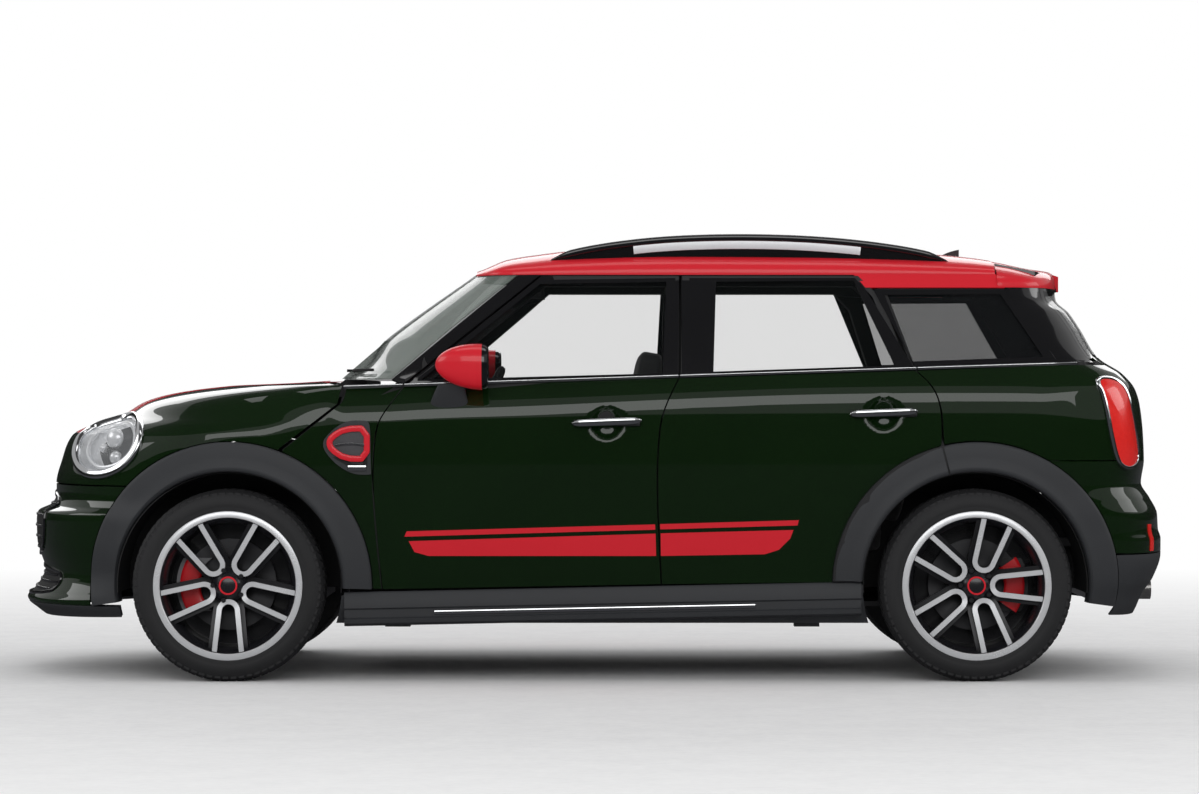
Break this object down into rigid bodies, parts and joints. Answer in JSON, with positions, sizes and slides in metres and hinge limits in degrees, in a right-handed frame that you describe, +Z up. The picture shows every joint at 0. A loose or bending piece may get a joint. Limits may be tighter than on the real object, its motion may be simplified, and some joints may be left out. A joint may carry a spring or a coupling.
{
  "type": "compact crossover",
  "caption": "Compact crossover car with hinged doors, clamshell hood and tailgate, steered front wheels and a hollow cabin with seats.",
  "frame": {"origin": "on the ground, midway between the two ends and the two sides", "axes": "+X to the front, +Y to the vehicle's left, +Z up"},
  "size_m": [4.298, 1.9924, 1.6088],
  "materials": {
    "paint_green": "gloss",
    "paint_red": "gloss",
    "dark_plastic": "matte",
    "gloss_black": "gloss",
    "glass": "clear",
    "lamp_clear": "clear",
    "lamp_red": "clear",
    "tyre": "matte",
    "rim": "machined",
    "steel": "satin",
    "cast": "rough",
    "under": "satin",
    "cabin": "matte",
    "seat": "satin"
  },
  "bodies": {
    "body": {"floor_pan": "under", "engine_block": "cast", "front_subframe": "under", "rear_subframe": "under", "exhaust": "steel", "sill_panels": "dark_plastic", "body_frame": "gloss_black", "front_fenders": "paint_green", "bulkhead": "cabin", "fixed_glass": "glass", "roof_panel": "paint_red", "roof_rails": "gloss_black", "rear_quarters": "paint_green", "front_bumper": "paint_green", "front_grille": "gloss_black", "headlamps": "lamp_clear", "rear_bumper": "dark_plastic", "tail_lamps": "lamp_red", "wheel_flares": "dark_plastic", "dashboard": "cabin", "seats": "seat"},
    "hood": {"hood": "paint_green"},
    "door_front_left": {"door_front_left": "paint_green", "glass_front_left": "glass", "mirror_left": "paint_red"},
    "door_front_right": {"door_front_right": "paint_green", "glass_front_right": "glass", "mirror_right": "paint_red"},
    "door_rear_left": {"door_rear_left": "paint_green", "glass_rear_left": "glass"},
    "door_rear_right": {"door_rear_right": "paint_green", "glass_rear_right": "glass"},
    "tailgate": {"tailgate": "paint_green", "tailgate_glass": "glass", "spoiler": "paint_red"},
    "knuckle_left": {"knuckle_left": "cast"},
    "knuckle_right": {"knuckle_right": "cast"},
    "wheel_front_left": {"tyre_front_left": "tyre", "rim_front_left": "rim"},
    "wheel_front_right": {"tyre_front_right": "tyre", "rim_front_right": "rim"},
    "wheel_rear_left": {"tyre_rear_left": "tyre", "rim_rear_left": "rim"},
    "wheel_rear_right": {"tyre_rear_right": "tyre", "rim_rear_right": "rim"}
  },
  "joints": [
    {"name": "hood_hinge", "type": "hinge", "parent": "body", "child": "hood", "pos_m": [0.905, 0, 1.08], "axis": [0, -1, 0], "range_deg": [0, 55]},
    {"name": "door_front_left_hinge", "type": "hinge", "parent": "body", "child": "door_front_left", "pos_m": [0.798, 0.892, 0.65], "axis": [0, 0, -1], "range_deg": [0, 68]},
    {"name": "door_front_right_hinge", "type": "hinge", "parent": "body", "child": "door_front_right", "pos_m": [0.798, -0.892, 0.65], "axis": [0, 0, 1], "range_deg": [0, 68]},
    {"name": "door_rear_left_hinge", "type": "hinge", "parent": "body", "child": "door_rear_left", "pos_m": [-0.215, 0.892, 0.65], "axis": [0, 0, -1], "range_deg": [0, 68]},
    {"name": "door_rear_right_hinge", "type": "hinge", "parent": "body", "child": "door_rear_right", "pos_m": [-0.215, -0.892, 0.65], "axis": [0, 0, 1], "range_deg": [0, 68]},
    {"name": "tailgate_hinge", "type": "hinge", "parent": "body", "child": "tailgate", "pos_m": [-1.45, 0, 1.526], "axis": [0, 1, 0], "range_deg": [0, 80]},
    {"name": "steer_left", "type": "hinge", "parent": "body", "child": "knuckle_left", "pos_m": [1.315, 0.722, 0.342], "axis": [0, 0, 1], "range_deg": [-35, 35]},
    {"name": "steer_right", "type": "hinge", "parent": "body", "child": "knuckle_right", "pos_m": [1.315, -0.722, 0.342], "axis": [0, 0, 1], "range_deg": [-35, 35]},
    {"name": "wheel_front_left_spin", "type": "hinge", "parent": "knuckle_left", "child": "wheel_front_left", "pos_m": [1.315, 0.792, 0.342], "axis": [0, 1, 0], "continuous": true},
    {"name": "wheel_front_right_spin", "type": "hinge", "parent": "knuckle_right", "child": "wheel_front_right", "pos_m": [1.315, -0.792, 0.342], "axis": [0, 1, 0], "continuous": true},
    {"name": "wheel_rear_left_spin", "type": "hinge", "parent": "body", "child": "wheel_rear_left", "pos_m": [-1.355, 0.792, 0.342], "axis": [0, 1, 0], "continuous": true},
    {"name": "wheel_rear_right_spin", "type": "hinge", "parent": "body", "child": "wheel_rear_right", "pos_m": [-1.355, -0.792, 0.342], "axis": [0, 1, 0], "continuous": true}
  ],
  "couplings": [
    {"joint": "steer_right", "follows": "steer_left", "ratio": 1}
  ]
}
